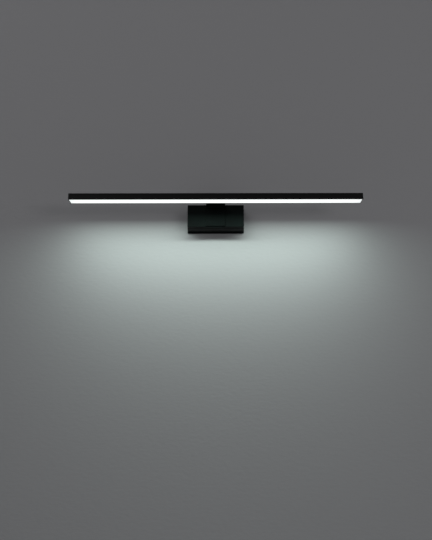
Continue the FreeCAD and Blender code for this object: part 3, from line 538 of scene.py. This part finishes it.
for top in (hook_low, hook_high, cover_high.z):
    crowns = [face for face in opal_shape.faces
              if face.normal.z > 0.9 and off_middle(face) > leg_inside]
    raised = bmesh.ops.extrude_discrete_faces(opal_shape, faces=crowns)["faces"]
    corners = {corner for face in raised for corner in face.verts}
    for corner in corners:
        corner.co.z = top
opal_shape.normal_update()
hook_sides = [face for face in opal_shape.faces
              if abs(face.normal.y) > 0.9 and off_middle(face) > leg_inside + leg / 2
              and hook_low < face.calc_center_median().z < hook_high]
for face in bmesh.ops.extrude_discrete_faces(opal_shape, faces=hook_sides)["faces"]:
    outward = hook if face.calc_center_median().y > cover_middle.y else -hook
    bmesh.ops.translate(opal_shape, vec=(0, outward, 0), verts=face.verts)
bmesh.ops.remove_doubles(opal_shape, verts=opal_shape.verts, dist=weld)
opal_shape.normal_update()
ridges = [edge for edge in opal_shape.edges
          if edge.is_manifold and edge.calc_face_angle() > corner_angle]
bmesh.ops.bevel(opal_shape, geom=ridges, offset=cover_round, offset_type="OFFSET",
                affect="EDGES", segments=2, profile=0.5, material=-1, clamp_overlap=True)

opal = Finish("lit_opal_acrylic", Emission_Strength=0.95, Specular_IOR_Level=0.4)
opal_x, opal_y = (
    opal.node("ShaderNodeSeparateXYZ", {}, {"Vector": opal.place}, out=axis) for axis in "XY")
half_face = (cover_high.y - cover_low.y) / 2 - hook
end_fade = 14 * MM
rim_fade = 2.5 * MM
to_end = (cover_high.x - abs(opal_x)) / end_fade
to_rim = (half_face - abs(opal_y - cover_middle.y)) / rim_fade
from_end = opal.node("ShaderNodeClamp", {}, {"Value": to_end})
from_rim = opal.node("ShaderNodeClamp", {}, {"Value": to_rim})
led_pitch = 8.4 * MM
led_turn = opal_x * (2 * pi / led_pitch)
led_wave = opal.node("ShaderNodeMath", {"operation": "COSINE"}, {0: led_turn})
led_glow = led_wave * 0.5 + 0.5
lit = from_end * (from_rim * 0.6 + 0.25 + led_glow * 0.15)
opal_haze = opal.noise(9 * MM, detail=1.0)
opal.feed("Base Color", opal.blend(opal_haze, (0.59, 0.60, 0.59), (0.64, 0.65, 0.64)))
opal.feed("Emission Color", opal.blend(lit, (0.74, 0.77, 0.77), (0.97, 1.0, 0.99)))
opal.feed("Roughness", opal_haze * 0.08 + 0.36)
opal.relief(opal.noise(0.5 * MM), 0.005 * MM)
fit("light_cover", opal_shape, "diffuser", "opal", opal)


# Wall and floor ------------------------------------------------------------------------------
# Matt painted wall with faint roller marks, which the gasket is pressed against, and a plain
# pale floor below. From behind and from below they let the eye through.

def open_behind(name, colour, roughness):
    """Matt paint that is seen from its front only."""
    paint = Finish(name, Base_Color=colour, Roughness=roughness)
    behind = paint.node("ShaderNodeNewGeometry", out="Backfacing")
    clear = paint.node("ShaderNodeBsdfTransparent")
    coat = Socket(paint, paint.shader.outputs["BSDF"])
    seen = paint.node("ShaderNodeMixShader", {}, {0: behind, 1: coat, 2: clear})
    paint.tree.links.new(seen.link, paint.tree.nodes["Material Output"].inputs["Surface"])
    return paint


def stage_sheet(name, half_size, turn, place, paint):
    """Large flat sheet, turned about X, that isn't part of the lamp."""
    sheet = bmesh.new()
    bmesh.ops.create_grid(sheet, x_segments=1, y_segments=1, size=half_size)
    bmesh.ops.rotate(sheet, cent=(0, 0, 0), matrix=Matrix.Rotation(turn, 3, "X"), verts=sheet.verts)
    bmesh.ops.translate(sheet, vec=place, verts=sheet.verts)
    mesh = bpy.data.meshes.new(name)
    sheet.to_mesh(mesh)
    sheet.free()
    mesh.materials.append(paint.material)
    made = bpy.data.objects.new(name, mesh)
    bpy.context.scene.collection.objects.link(made)


floor_z = -1.2
floor_half = 6.0
wall_half = 4.0
foam_squeeze = 0.2 * MM
wall_paint = open_behind("wall_paint", (0.145, 0.145, 0.15), 0.9)
roller_marks = wall_paint.noise(1.0, where=wall_paint.stretched(12 * MM, 12 * MM, 6 * MM))
wall_paint.relief(roller_marks, 0.28 * MM)
floor_paint = open_behind("floor_paint", (0.70, 0.70, 0.70), 0.8)
stage_sheet("wall", wall_half, pi / 2, (0, -foam_squeeze, floor_z + wall_half), wall_paint)
stage_sheet("floor", floor_half, 0.0, (0, 0, floor_z), floor_paint)


# Light ---------------------------------------------------------------------------------------
# Soft even light from all round, two broad lamps in front, one behind, and the light that the
# lamp itself throws down from its diffuser.

world = bpy.data.worlds.new("even_light")
world.use_nodes = True
background = world.node_tree.nodes["Background"]
background.inputs["Color"].default_value = (0.98, 0.98, 1.0, 1.0)
background.inputs["Strength"].default_value = 0.438
bpy.context.scene.world = world


def area_lamp(name, place, aim, size, watts, colour):
    """Rectangular lamp at a place, aimed at a point."""
    light = bpy.data.lights.new(name, "AREA")
    light.shape = "RECTANGLE"
    light.size, light.size_y = size
    light.energy = watts
    light.color = colour
    lamp = bpy.data.objects.new(name, light)
    lamp.location = place
    lamp.rotation_euler = (Vector(aim) - Vector(place)).to_track_quat("-Z", "Y").to_euler()
    bpy.context.scene.collection.objects.link(lamp)
    return lamp


white = (1.0, 1.0, 1.0)
cool_white = (0.84, 1.0, 0.915)
box_back = (0, 0, 0)
area_lamp("key", (-1.4, -2.2, 1.5), box_back, size=(1.6, 1.6), watts=22, colour=white)
area_lamp("fill", (1.5, -2.3, -0.16), box_back, size=(0.9, 0.5), watts=14, colour=white)
area_lamp("rear", (0.9, 2.4, 1.0), box_back, size=(1.6, 1.6), watts=22, colour=white)
glow_gap = 0.3 * MM
glow_place = Vector((0, (cover_low.y + cover_high.y) / 2, cover_low.z - glow_gap))
straight_below = glow_place - Vector((0, 0, 1))
glow = area_lamp("glow", glow_place, straight_below, size=(face_length, face_width),
                 watts=3.68, colour=cool_white)
glow.data.spread = radians(174)
glow.visible_camera = False
glow.visible_glossy = False


# Camera --------------------------------------------------------------------------------------
# In front of the lamp's middle and well below it, looking up at the wall. The lens is given in
# millimetres for a sensor 36 mm wide.

view_distance = 1.3796
view_drop = 0.4222
view_aside = -0.0001
look_up = 12.75
roll = 0.1
camera_data = bpy.data.cameras.new("camera")
camera_data.sensor_width = 36.0
camera_data.lens = 43.45
camera = bpy.data.objects.new("camera", camera_data)
camera.location = (view_aside, -view_distance, -view_drop)
camera.rotation_euler = (radians(90 + look_up), radians(roll), 0)
bpy.context.scene.collection.objects.link(camera)
bpy.context.scene.camera = camera
bpy.context.scene.view_settings.view_transform = "Standard"
